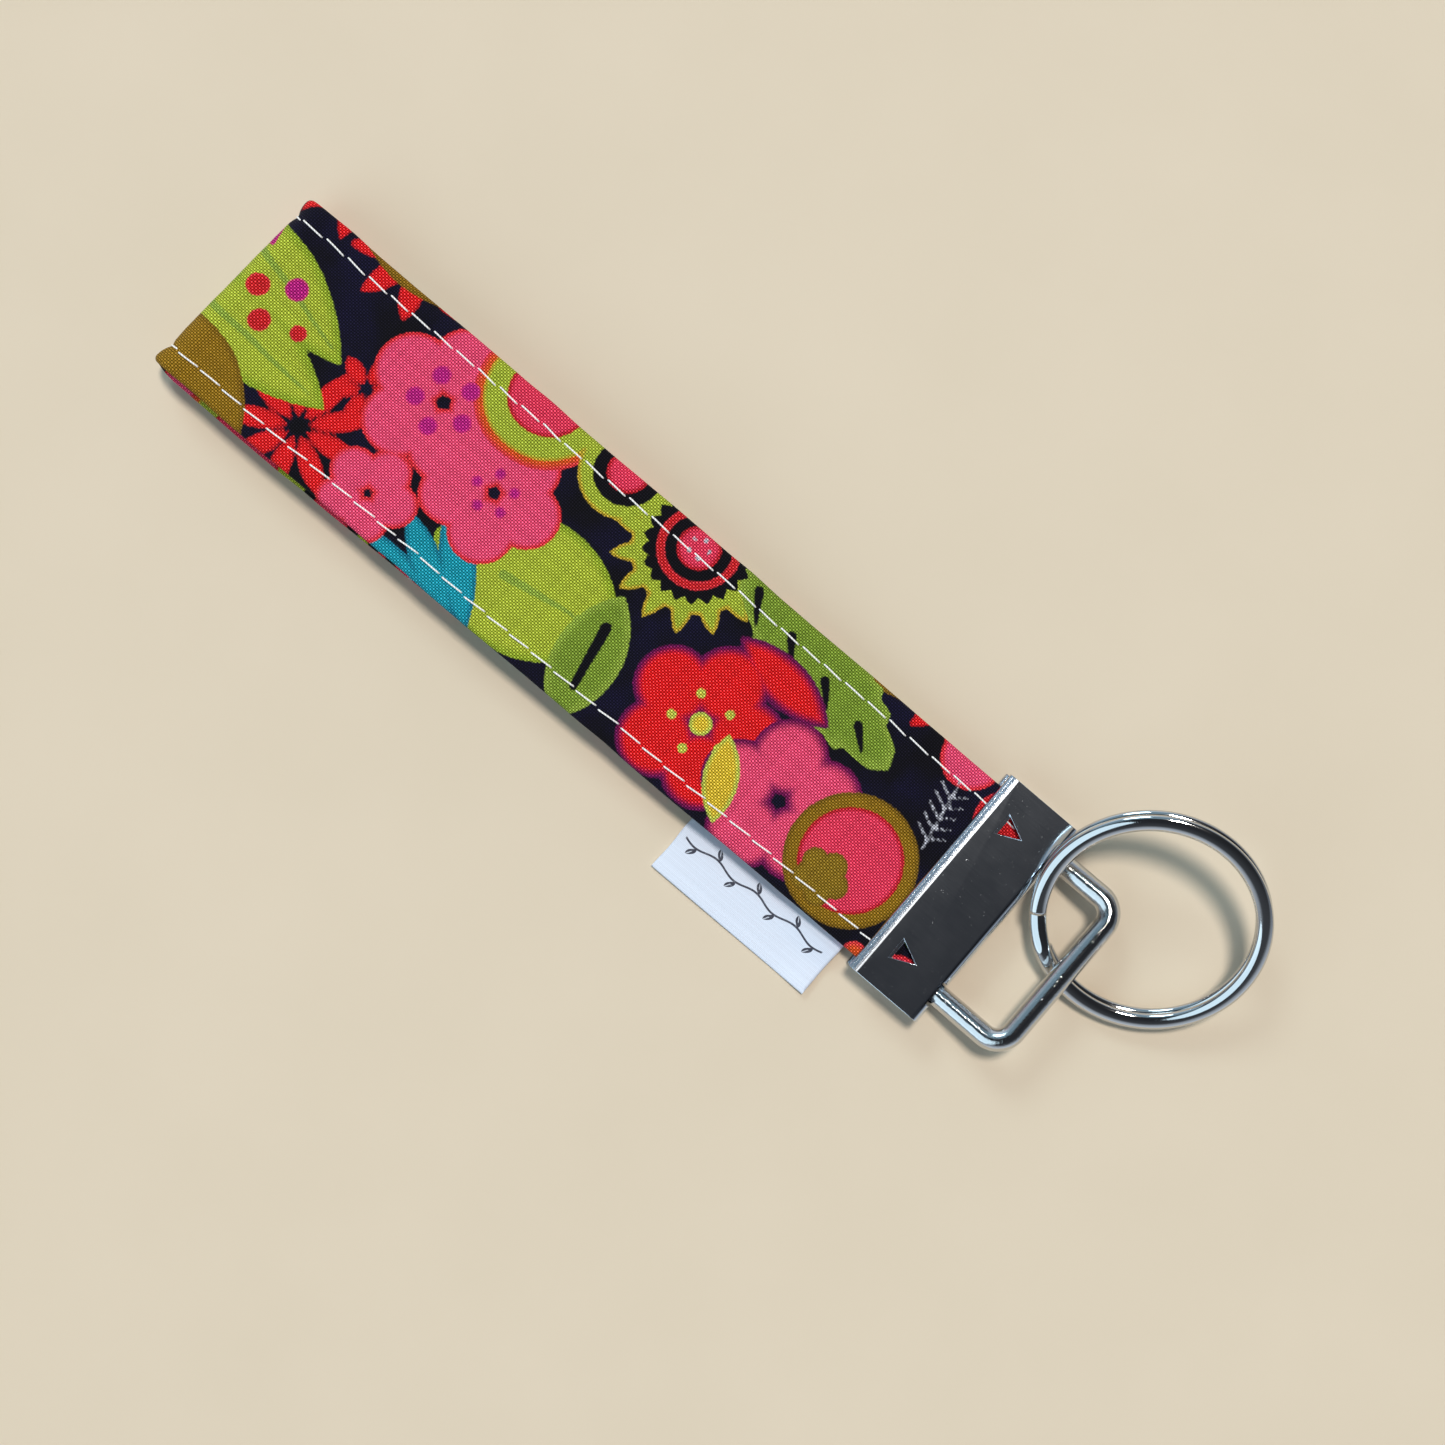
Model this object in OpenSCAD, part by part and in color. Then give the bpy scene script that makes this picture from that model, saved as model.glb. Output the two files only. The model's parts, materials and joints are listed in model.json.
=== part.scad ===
// Wristlet keychain: a folded fabric strap, crimped in a sheet-metal clamp
// that holds a wire loop and a split ring.
//
// Millimetres. The origin is the middle of the clamp's underside, on the
// surface the keychain lies on. +X runs from the strap to the split ring, +Z up.

/* [Strap] */
// Length of the strap that shows, from the clamp's lip to the fold
strap_len = 117; // [90:1:150]
// Width of the strap
strap_w = 28.8; // [24:0.1:29]
// Thickness of one layer of the strap, core and cover together
strap_t = 1.6; // [1.4:0.1:1.6]
// Thickness of the stiff core inside each layer
core_t = 0.6; // [0.4:0.1:0.8]
// Height of the folded strap over both layers, where the wrist loop is open
loop_h = 7.6; // [7.4:0.1:10]
// How far the strap sits off the clamp's middle, towards the label
strap_off = 0.3; // [0:0.1:1]

/* [Stitching] */
// Distance from the strap's edge to the line of topstitching
stitch_inset = 2.95; // [2.5:0.05:4]
// Width of the sewing thread
thread_w = 0.35; // [0.3:0.05:0.5]
// Depth of the groove that the thread lies in
thread_t = 0.15; // [0.1:0.05:0.2]

/* [Label] */
// Length of the folded woven label, along the strap
label_len = 25.6; // [15:0.1:40]
// How far the label stands out from the strap's edge
label_out = 8.3; // [5:0.1:12]
// Thickness of the folded label, two layers of tape
label_t = 0.5; // [0.4:0.05:0.8]
// Distance from the clamp's lip to the near end of the label
label_gap = 1.7; // [1:0.1:10]

/* [Clamp] */
// Length of the clamp along the strap
clamp_len = 11.4; // [11:0.1:14]
// Width of the clamp across the strap
clamp_w = 32; // [31:0.5:36]
// Height of the clamp over both jaws
clamp_h = 6; // [5.8:0.1:6.4]
// Thickness of the sheet metal
sheet_t = 0.85; // [0.7:0.05:0.9]
// Outer radius of the bends at the clamp's rear
bend_r = 1.2; // [1.1:0.05:1.5]
// Radius of the bead along each jaw's lip
bead_r = 0.5; // [0.4:0.05:0.5]
// Distance from the middle of a tooth's window to the clamp's end
tooth_inset = 5.6; // [5:0.1:6]

/* [Wire loop] */
// Diameter of the wire
wire_d = 3; // [2.6:0.1:3]
// Outer width of the loop
wire_loop_w = 26.2; // [24:0.1:27]
// Distance from the pivot to the middle of the outer bar
wire_loop_reach = 13; // [13:0.1:14]
// Bend radius of the outer corners, to the middle of the wire
wire_bend_r = 2.8; // [2.2:0.1:4]
// How far the loop leans up where it lies
wire_loop_lean = 13.5; // [13.5:0.5:15]

/* [Split ring] */
// Outer diameter
ring_d = 30.5; // [30:0.1:31]
// Width of the wound wire, across the ring
ring_wire_w = 2.2; // [2:0.1:2.4]
// Thickness of the wound wire, along the ring's axis
ring_wire_t = 1.3; // [1.1:0.05:1.3]
// Gap between the two turns
ring_gap = 0.1; // [0.05:0.01:0.1]
// Length of the step from one turn to the other, as an angle
ring_step = 23; // [15:1:40]
// How far the ring leans where it lies
ring_lean = 25; // [24.5:0.5:26]
// Direction of the level line through the leaning ring, from +X
ring_lean_dir = 17.5; // [15:0.5:20]

/* [Hidden] */
$fn = 64;

lip_x = -clamp_len / 2;
rear_x = clamp_len / 2;
mid_z = clamp_h / 2;
fold_x = lip_x - strap_len;

// The strap inside the clamp: the two layers press on each other.
layer_gap = 0.1;
strap_end_x = 0.8;
pinch_x = lip_x - 1.3;
pinch_offset = (strap_t + layer_gap) / 2;
core_inset = 1;

// Lengths over which each layer leaves the clamp's mid height.
upper_rise = 60;
lower_drop = 14;
fold_r = (loop_h - strap_t) / 2;
rise_steps = 16;
fold_steps = 18;

// Teeth: a triangle pressed out of each jaw, at both ends.
tooth_x = lip_x + 3.1;
tooth_len = 3.3;
tooth_half = 1.55;
tooth_t = 0.45;
tooth_depth = 1.9;
lip_len = 1.1;
lip_gap = 2 * strap_t + layer_gap + 0.1;

// The wire's turned-in ends lie in the clamp's rear channel.
pivot_play = 0.15;
pivot_x = rear_x - sheet_t - wire_d / 2 - pivot_play;
arm_y = (wire_loop_w - wire_d) / 2;
pin_bend_r = 2;
pin_reach = 5;
slot_play = 0.3;
slot_skin = 0.05;

ring_x = 19.6;
ring_y = 13.1;
ring_h = 2 * ring_wire_t + ring_gap;
ring_z = ring_d / 2 * sin(ring_lean) + ring_h / 2 * cos(ring_lean);
ring_start = 240;
ring_facet = 8.5;
ring_chamfer = 0.35;

// Smooth step from 0 to 1.
function ease(t) = let (u = min(max(t, 0), 1)) u * u * (3 - 2 * u);

function mix(a, b, t) = a + (b - a) * t;

// Middle line of the upper layer, from inside the clamp to the fold.
function upper_line() = [
    [strap_end_x, mid_z + pinch_offset],
    for (i = [0 : rise_steps])
        let (t = i / rise_steps)
        [pinch_x - upper_rise * t, mix(mid_z + pinch_offset, loop_h - strap_t / 2, ease(t))]
];

// Middle line of the fold, half a turn.
function fold_line() = [
    for (i = [0 : fold_steps])
        let (a = 90 + 180 * i / fold_steps)
        [fold_x + loop_h / 2 + fold_r * cos(a), loop_h / 2 + fold_r * sin(a)]
];

// Middle line of the lower layer, from the fold back into the clamp.
function lower_line() = [
    for (i = [rise_steps : -1 : 0])
        let (t = i / rise_steps)
        [pinch_x - lower_drop * t, mix(mid_z - pinch_offset, strap_t / 2, ease(t))],
    [strap_end_x, mid_z - pinch_offset]
];

strap_line = concat(upper_line(), fold_line(), lower_line());

function unit(v) = v / norm(v);

// Outward normal of the middle line at point i.
function line_normal(i) =
    let (
        last = len(strap_line) - 1,
        along = unit(strap_line[min(i + 1, last)] - strap_line[max(i - 1, 0)])
    )
    [along[1], -along[0]];

// The middle line moved sideways; a positive shift is outwards.
function shifted_line(shift) = [
    for (i = [0 : len(strap_line) - 1])
        strap_line[i] + shift * line_normal(i)
];

function reversed(list) = [for (i = [len(list) - 1 : -1 : 0]) list[i]];

// A band that follows the strap, between two shifts, across from y_low to y_high.
module strap_band(inner, outer, y_low, y_high) {
    translate([0, y_high, 0])
        rotate([90, 0, 0])
            linear_extrude(y_high - y_low)
                polygon(concat(shifted_line(outer), reversed(shifted_line(inner))));
}

// One tooth of the upper jaw: a triangular blade that points down into the strap.
module tooth(y) {
    translate([tooth_x, y, mid_z + clamp_h / 2 - sheet_t / 2])
        rotate([90, 0, 90])
            linear_extrude(tooth_t)
                polygon([[-tooth_half, 0], [tooth_half, 0], [0, -tooth_depth]]);
}

// Places its children at both ends of the upper jaw, and again on the lower jaw.
module both_jaws() {
    children();
    translate([0, 0, mid_z])
        mirror([0, 0, 1])
            translate([0, 0, -mid_z])
                children();
}

module teeth() {
    both_jaws()
        for (side = [-1, 1])
            tooth(side * (clamp_w / 2 - tooth_inset));
}

strap_low_y = -strap_w / 2 - strap_off;
strap_high_y = strap_w / 2 - strap_off;
stitch_label_y = strap_low_y + stitch_inset;
stitch_plain_y = strap_high_y - stitch_inset;

module thread(y, inner, outer) {
    difference() {
        strap_band(inner, outer, y - thread_w / 2, y + thread_w / 2);
        teeth();
    }
}

module outer_thread(y) {
    thread(y, strap_t / 2 - thread_t, strap_t / 2);
}

module inner_thread(y) {
    thread(y, -strap_t / 2, thread_t - strap_t / 2);
}

module topstitch_label_side() {
    color("white") outer_thread(stitch_label_y);
}

module topstitch_plain_side() {
    color("white") outer_thread(stitch_plain_y);
}

module bobbin_label_side() {
    color("white") inner_thread(stitch_label_y);
}

module bobbin_plain_side() {
    color("white") inner_thread(stitch_plain_y);
}

module strap_cover() {
    color("deeppink")
        difference() {
            strap_band(-strap_t / 2, strap_t / 2, strap_low_y, strap_high_y);
            strap_band(-core_t / 2, core_t / 2, strap_low_y + core_inset, strap_high_y - core_inset);
            for (y = [stitch_label_y, stitch_plain_y]) {
                strap_band(strap_t / 2 - thread_t, strap_t / 2, y - thread_w / 2, y + thread_w / 2);
                strap_band(-strap_t / 2, thread_t - strap_t / 2, y - thread_w / 2, y + thread_w / 2);
            }
            teeth();
        }
}

module strap_core() {
    color("ivory")
        difference() {
            strap_band(-core_t / 2, core_t / 2, strap_low_y + core_inset, strap_high_y - core_inset);
            teeth();
        }
}

// The folded tape outside the seam; it flaps about the seam line.
label_hinge_gap = 0.35;
label_z = 1.2;

module label_tab() {
    color("aliceblue")
        translate([lip_x - label_gap - label_len, strap_low_y - label_out, label_z - label_t / 2])
            cube([label_len, label_out - label_hinge_gap, label_t]);
}

function arc(centre, r, from, to, steps) = [
    for (i = [0 : steps])
        let (a = mix(from, to, i / steps))
        centre + r * [cos(a), sin(a)]
];

// Upper half of the clamp's section, in x and height over the mid plane.
module jaw_section() {
    top = clamp_h / 2;
    bend_in_r = bend_r - sheet_t;
    bend_centre = [rear_x - bend_r, top - bend_r];
    lip_top = lip_gap / 2 + 2 * bead_r;
    polygon(concat(
        [[rear_x - sheet_t, 0], [rear_x, 0]],
        arc(bend_centre, bend_r, 0, 90, 12),
        [[lip_x + lip_len, top], [lip_x + bead_r, lip_top]],
        [[lip_x + bead_r, lip_gap / 2], [lip_x + lip_len, top - sheet_t]],
        arc(bend_centre, bend_in_r, 90, 0, 8)
    ));
}

module tooth_window(y) {
    translate([tooth_x, y, mid_z + clamp_h / 2 - 2 * sheet_t])
        linear_extrude(3 * sheet_t)
            polygon([[0, -tooth_half], [tooth_len, 0], [0, tooth_half]]);
}

module arm_slot(y) {
    slot_w = wire_d + 2 * slot_play;
    translate([rear_x - bend_r, y - slot_w / 2, slot_skin])
        cube([2 * bend_r, slot_w, clamp_h - 2 * slot_skin]);
}

module clamp_shell() {
    color("silver") {
        difference() {
            both_jaws() {
                translate([0, clamp_w / 2, mid_z])
                    rotate([90, 0, 0])
                        linear_extrude(clamp_w)
                            jaw_section();
                translate([lip_x + bead_r, clamp_w / 2, mid_z + lip_gap / 2 + bead_r])
                    rotate([90, 0, 0])
                        cylinder(r = bead_r, h = clamp_w);
            }
            both_jaws()
                for (side = [-1, 1])
                    tooth_window(side * (clamp_w / 2 - tooth_inset));
            for (side = [-1, 1])
                arm_slot(side * arm_y);
        }
        teeth();
    }
}

// Quarter bend of the wire in the XY plane, from +X round to +Y, about its centre.
module wire_bend(r) {
    rotate_extrude(angle = 90)
        translate([r, 0])
            circle(d = wire_d);
}

module wire_rod(length) {
    rotate([0, 90, 0])
        cylinder(d = wire_d, h = length);
}

// Half of the loop on the +Y side, flat, with the pivot at the origin.
module half_loop() {
    translate([wire_loop_reach, 0, 0])
        rotate([0, 0, 90])
            wire_rod(arm_y - wire_bend_r);
    translate([wire_loop_reach - wire_bend_r, arm_y - wire_bend_r, 0])
        wire_bend(wire_bend_r);
    translate([pin_bend_r, arm_y, 0])
        wire_rod(wire_loop_reach - wire_bend_r - pin_bend_r);
    translate([pin_bend_r, arm_y - pin_bend_r, 0])
        rotate([0, 0, 90])
            wire_bend(pin_bend_r);
    translate([0, arm_y - pin_bend_r - pin_reach, 0])
        rotate([0, 0, 90])
            wire_rod(pin_reach);
}

module wire_loop() {
    color("silver")
        translate([pivot_x, 0, mid_z])
            rotate([0, -wire_loop_lean, 0]) {
                half_loop();
                mirror([0, 1, 0]) half_loop();
            }
}

// The wire's section, as distance from the axis and height, corners cut.
function ring_section() =
    let (
        r = ring_d / 2,
        w = ring_wire_w,
        h = ring_wire_t / 2,
        c = ring_chamfer
    )
    [[r - w, c - h], [r - w + c, -h], [r - c, -h], [r, c - h],
     [r, h - c], [r - c, h], [r - w + c, h], [r - w, h - c]];

// Height of the wire's middle at an angle along the winding.
function ring_level(a) =
    (ring_wire_t + ring_gap) * (ease((a - (360 - ring_step)) / ring_step) - 0.5);

module split_ring() {
    turn = 720 - ring_step;
    steps = round(turn / ring_facet);
    section = ring_section();
    n = len(section);
    points = [
        for (i = [0 : steps])
            let (a = turn * i / steps)
            for (p = section)
                [p[0] * cos(ring_start + a), p[0] * sin(ring_start + a), p[1] + ring_level(a)]
    ];
    sides = [
        for (i = [0 : steps - 1])
            for (k = [0 : n - 1])
                [i * n + k, i * n + (k + 1) % n, (i + 1) * n + (k + 1) % n, (i + 1) * n + k]
    ];
    start_cap = [for (k = [n - 1 : -1 : 0]) k];
    end_cap = [for (k = [0 : n - 1]) steps * n + k];
    color("silver")
        translate([ring_x, ring_y, ring_z])
            rotate(a = ring_lean, v = [cos(ring_lean_dir), sin(ring_lean_dir), 0])
                polyhedron(points, concat([start_cap], sides, [end_cap]));
}

strap_cover();
strap_core();
topstitch_label_side();
topstitch_plain_side();
bobbin_label_side();
bobbin_plain_side();
label_tab();
clamp_shell();
wire_loop();
split_ring();
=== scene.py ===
"""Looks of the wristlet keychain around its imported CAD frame.

Shapes are worked out in millimetres and written to the meshes in metres.
X runs along the strap towards the split ring, Y across it, away from the label.
"""

import json
import math

import bmesh
import bpy
import numpy as np
from mathutils import Matrix, Vector


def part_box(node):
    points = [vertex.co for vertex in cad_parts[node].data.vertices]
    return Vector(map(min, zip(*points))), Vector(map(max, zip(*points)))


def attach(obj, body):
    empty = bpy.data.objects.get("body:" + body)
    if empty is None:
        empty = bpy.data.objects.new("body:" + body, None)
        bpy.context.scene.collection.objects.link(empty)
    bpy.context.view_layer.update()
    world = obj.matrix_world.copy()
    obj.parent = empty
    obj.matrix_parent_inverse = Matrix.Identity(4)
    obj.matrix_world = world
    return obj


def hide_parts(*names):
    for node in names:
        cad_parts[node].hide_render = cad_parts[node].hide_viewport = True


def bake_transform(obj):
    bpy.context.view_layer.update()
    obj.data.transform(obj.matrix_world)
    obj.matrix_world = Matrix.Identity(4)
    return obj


MM = 0.001
PHOTO_TURN = math.radians(40.4)  # the strap runs down to the right at this angle in the view


# ---------------------------------------------------------------- frame

def box_mm(node):
    low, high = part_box(node)
    return np.array(low) / MM, np.array(high) / MM


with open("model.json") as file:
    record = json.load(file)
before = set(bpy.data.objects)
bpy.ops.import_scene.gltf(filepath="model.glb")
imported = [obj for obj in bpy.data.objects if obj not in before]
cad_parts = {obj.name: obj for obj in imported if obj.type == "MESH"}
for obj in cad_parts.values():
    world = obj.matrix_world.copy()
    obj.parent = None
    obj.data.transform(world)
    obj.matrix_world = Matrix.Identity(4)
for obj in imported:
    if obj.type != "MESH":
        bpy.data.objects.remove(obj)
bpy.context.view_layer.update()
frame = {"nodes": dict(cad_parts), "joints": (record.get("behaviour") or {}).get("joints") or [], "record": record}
joints = {j["name"]: j for j in frame["joints"]}
mounts = {m["name"]: m for m in frame["record"]["mounts"]}

STRAP_LOW, STRAP_HIGH = box_mm("strap_cover")
CLAMP_LOW, CLAMP_HIGH = box_mm("clamp_shell")
LABEL_LOW, LABEL_HIGH = box_mm("label_tab")

STRAP_T = 1.6
STRAP_W = STRAP_HIGH[1] - STRAP_LOW[1]
STRAP_Y = (STRAP_HIGH[1] + STRAP_LOW[1]) / 2
LOOP_H = STRAP_HIGH[2]
FOLD_X = STRAP_LOW[0]
END_X = STRAP_HIGH[0]
LIP_X = CLAMP_LOW[0]
CLAMP_MID = CLAMP_HIGH[2] / 2


# ---------------------------------------------------------------- meshes

def ease(t):
    u = np.clip(t, 0, 1)
    return u * u * (3 - 2 * u)


def new_object(name, points, faces):
    """A mesh object from points in millimetres."""
    mesh = bpy.data.meshes.new(name)
    mesh.from_pydata((np.asarray(points, float) * MM).tolist(), [], [list(map(int, f)) for f in faces])
    mesh.validate()
    mesh.update()
    mesh.polygons.foreach_set("use_smooth", [True] * len(mesh.polygons))
    obj = bpy.data.objects.new(name, mesh)
    bpy.context.scene.collection.objects.link(obj)
    return obj


def point_attribute(obj, name, values):
    data = obj.data.attributes.new(name, "FLOAT", "POINT")
    data.data.foreach_set("value", np.asarray(values, np.float32))


def side_faces(rows, columns):
    """Quads round a swept section: each row of points is one section, and goes all the way round."""
    return [
        (r * columns + c, r * columns + (c + 1) % columns,
         (r + 1) * columns + (c + 1) % columns, (r + 1) * columns + c)
        for r in range(rows - 1)
        for c in range(columns)
    ]


def closed_faces(rows, columns):
    """The sides of a swept section, and one face to close each end."""
    start = tuple(range(columns))[::-1]
    end = tuple(range((rows - 1) * columns, rows * columns))
    return side_faces(rows, columns) + [start, end]


def swept_object(name, points):
    """A closed object from a grid of points, one row for each section."""
    return new_object(name, points.reshape(-1, 3), closed_faces(*points.shape[:2]))


def tube(centres, across, up, section):
    """Points and faces of a section swept along centres; across and up span each section's plane."""
    rings = (
        centres[:, None]
        + section[None, :, 0, None] * across[:, None]
        + section[None, :, 1, None] * up[:, None]
    )
    return rings.reshape(-1, 3), closed_faces(*rings.shape[:2])


def joined(parts):
    """Several (points, faces) as one."""
    points, faces, count = [], [], 0
    for p, f in parts:
        points.append(p)
        faces += [tuple(i + count for i in face) for face in f]
        count += len(p)
    return np.concatenate(points), faces


# ---------------------------------------------------------------- the strap's shape

UPPER_RISE = 60.0  # how far from the clamp the upper layer reaches its full height
LOWER_DROP = 14.0  # how far from the clamp the lower layer meets the table
PINCH_X = LIP_X - 1.3
PINCH_OFFSET = (STRAP_T + 0.1) / 2
FOLD_R = (LOOP_H - STRAP_T) / 2
FOLD_SLANT = 0.07  # the fold isn't square to the strap
UNDER_SHIFT = 0.7  # the lower layer shows a little on the label side, near the fold
MESH_STEP = 0.45


def middle_line():
    """The strap's middle line in the XZ plane, evenly spaced, and each point's distance from the lip."""
    t = np.linspace(0, 1, 400)
    flat = np.linspace(0, 1, 200)[1:]
    turn = np.radians(np.linspace(90, 270, 120))[1:]
    upper_end = PINCH_X - UPPER_RISE
    lower_start = PINCH_X - LOWER_DROP
    fold_x = FOLD_X + LOOP_H / 2
    top, low = LOOP_H - STRAP_T / 2, STRAP_T / 2
    pinch_top, pinch_low = CLAMP_MID + PINCH_OFFSET, CLAMP_MID - PINCH_OFFSET
    stretches = [
        ([END_X], [pinch_top]),
        (PINCH_X - UPPER_RISE * t, pinch_top + (top - pinch_top) * ease(t)),
        (upper_end + (fold_x - upper_end) * flat, np.full(len(flat), top)),
        (fold_x + FOLD_R * np.cos(turn), LOOP_H / 2 + FOLD_R * np.sin(turn)),
        (fold_x + (lower_start - fold_x) * flat, np.full(len(flat), low)),
        (lower_start + LOWER_DROP * t[1:], low + (pinch_low - low) * ease(t[1:])),
        ([END_X], [pinch_low]),
    ]
    x = np.concatenate([s[0] for s in stretches])
    z = np.concatenate([s[1] for s in stretches])
    along = np.concatenate([[0], np.cumsum(np.hypot(np.diff(x), np.diff(z)))])
    even = np.linspace(0, along[-1], int(along[-1] / MESH_STEP))
    x, z = np.interp(even, along, x), np.interp(even, along, z)
    return x, z, even - (END_X - LIP_X)


LINE_X, LINE_Z, LINE_S = middle_line()
LINE_TX, LINE_TZ = np.gradient(LINE_X, LINE_S), np.gradient(LINE_Z, LINE_S)
LOWER_S = LINE_S[LINE_X.argmin()]  # from here on the strap is the lower layer, which lies on the floor
STITCH_INSET = 2.95
STITCH_W = STRAP_W / 2 - STITCH_INSET
STITCH_PITCH = 3.65
EDGE_R = STRAP_T / 2


def slow_wave(s, seed, reach):
    """A gentle, repeatable unevenness between about -1 and 1, with bumps about reach apart."""
    rng = np.random.default_rng(seed)
    total = np.zeros_like(s)
    for k in range(1, 6):
        total += np.sin(s / reach * k * 1.3 + rng.uniform(0, 6.3)) / k
    return total / 1.8


def fold_pucker(s, w):
    """How far the fold's corners bulge outwards beside the stitching, which pulls the cloth in."""
    from_stitches = np.abs(w) - STITCH_W
    corner = 0.30 * ease(from_stitches / 1.8)
    pulled_in = 0.24 * np.exp(-((from_stitches / 1.5) ** 2))
    return (corner - pulled_in) * np.exp(-(((s - LOWER_S) / 2.6) ** 2))


def strap_point(s, w, h):
    """A point of the strap, s from the lip along it, w across from its middle, h outwards."""
    s, w, h = np.broadcast_arrays(np.asarray(s, float), w, h)
    x, z = np.interp(s, LINE_S, LINE_X), np.interp(s, LINE_S, LINE_Z)
    tx, tz = np.interp(s, LINE_S, LINE_TX), np.interp(s, LINE_S, LINE_TZ)
    size = np.hypot(tx, tz)
    free = ease((LIP_X - 3 - x) / 20)
    upper = ease((z - LOOP_H / 2) / FOLD_R + 0.2) * free
    broad = 0.12 * slow_wave(s, 3, 14)
    fine = 0.05 * slow_wave(s + 3 * w, 4, 5)
    lift = h + broad * upper + fine * upper + fold_pucker(s, w)
    lower = ease((LOOP_H / 2 - z) / FOLD_R)
    near_fold = ease((LIP_X - 55 - x) / 40)
    side = w + 0.10 * slow_wave(s, 5, 7) * free - UNDER_SHIFT * lower * near_fold
    towards_fold = ease((LIP_X - x) / (LIP_X - FOLD_X))
    x = x + tz / size * lift + FOLD_SLANT * w * towards_fold
    z = z - tx / size * lift
    return np.stack([x, STRAP_Y + side, z], axis=-1)


def stitch_row(side):
    """Where each stitch of one line starts, from inside the clamp to inside the clamp."""
    rng = np.random.default_rng(11 if side > 0 else 12)
    end_gap = 1
    out_of_step = 0.35 if side > 0 else 0.0
    count = int((LINE_S[-1] - LINE_S[0] - 2 * end_gap) / STITCH_PITCH)
    jitter = rng.uniform(-0.12, 0.12, count)
    return LINE_S[0] + end_gap + out_of_step + STITCH_PITCH * np.arange(count) + jitter


STITCHES = {side: stitch_row(side) for side in (-1, 1)}


def face_relief(s, w):
    """How far one face of the strap stands off its flat: each stitch line's channel, holes and puckers."""
    relief = np.zeros(np.broadcast(s, w).shape)
    for side in (-1, 1):
        holes = STITCHES[side]
        nearest = np.abs(s[..., None] - holes).min(-1)
        off = np.abs(w - side * STITCH_W)
        channel = np.exp(-((off / 0.42) ** 2))
        shoulder = np.exp(-(((off - 1.0) / 0.7) ** 2))
        hole = np.exp(-((nearest / 0.42) ** 2))
        relief += -0.13 * channel - 0.17 * channel * hole
        relief += 0.05 * shoulder * np.cos(2 * np.pi * nearest / STITCH_PITCH + np.pi)
    return relief


def cover_section():
    """Points round the strap's section, from the seam over the outer face and back under to the seam.

    Gives w and h of each, its face (1 outer, -1 inner, 0 an edge) and the cloth's own coordinate round it.
    """
    half = STRAP_W / 2
    flat = half - EDGE_R
    coarse = np.arange(-flat, flat + 0.01, MESH_STEP)
    fine = np.concatenate([side * STITCH_W + np.arange(-0.9, 0.91, 0.15) for side in (-1, 1)])
    keep = [c for c in coarse if np.abs(c - fine).min() > 0.2]
    across = np.sort(np.concatenate([keep, fine]))
    quarter = np.radians([4, 12, 24, 40, 58, 76])
    seam = 1 - 0.30 * np.exp(-((np.degrees(quarter) / 12) ** 2))
    rise = [
        (-flat - EDGE_R * k * math.cos(a), EDGE_R * math.sin(a) * k)
        for a, k in zip(quarter, seam)
    ]
    fold = np.radians([76, 58, 40, 20, 0, -20, -40, -58, -76])
    points = rise + [(w, EDGE_R) for w in across]
    points += [(flat + EDGE_R * math.cos(a), EDGE_R * math.sin(a)) for a in fold]
    points += [(w, -EDGE_R) for w in across[::-1]]
    points += [(w, -h) for w, h in rise[::-1]]
    points = np.array(points)
    cloth = np.concatenate([[0], np.cumsum(np.hypot(*np.diff(points, axis=0).T))])
    cloth -= np.interp(0, points[: len(rise) + len(across), 0], cloth[: len(rise) + len(across)])
    on_face = np.where(np.abs(points[:, 1]) > EDGE_R * 0.999, np.sign(points[:, 1]), 0)
    return points, on_face, cloth


def make_cover():
    section, on_face, cloth = cover_section()
    s = LINE_S[:, None]
    w, h = section[:, 0][None], section[:, 1][None]
    relief = face_relief(s + 0 * w, w + 0 * s)
    on_floor = (s > LOWER_S) & (on_face > 0)
    relief = np.where(on_floor, np.minimum(relief, 0), relief) * on_face
    points = strap_point(s, w, h + relief)
    cover = swept_object("strap_cloth", points)
    along = np.broadcast_to(s, points.shape[:2]).ravel()
    round_it = np.broadcast_to(cloth[None], points.shape[:2]).ravel()
    point_attribute(cover, "along", along)
    point_attribute(cover, "across", round_it)
    for name, distance in cloth_print(along, round_it).items():
        point_attribute(cover, "print_" + name, distance)
    return cover


CORE_INSET = 1.2
CORE_HALF_T = 0.28


def make_core():
    """The stiff layer inside the cover."""
    half = STRAP_W / 2 - CORE_INSET
    w = np.linspace(-half, half, 40)
    section = np.array([(x, CORE_HALF_T) for x in w] + [(x, -CORE_HALF_T) for x in w[::-1]])
    points = strap_point(LINE_S[2:-2:3, None], section[:, 0][None], section[:, 1][None])
    return swept_object("strap_interfacing", points)


# ---------------------------------------------------------------- stitching

THREAD_R = 0.115
HOLE_DEPTH = 0.55  # how far a stitch's ends go down into the cloth
HOLE_GAP = 0.10  # from the middle of a hole to the stitch's end


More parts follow.
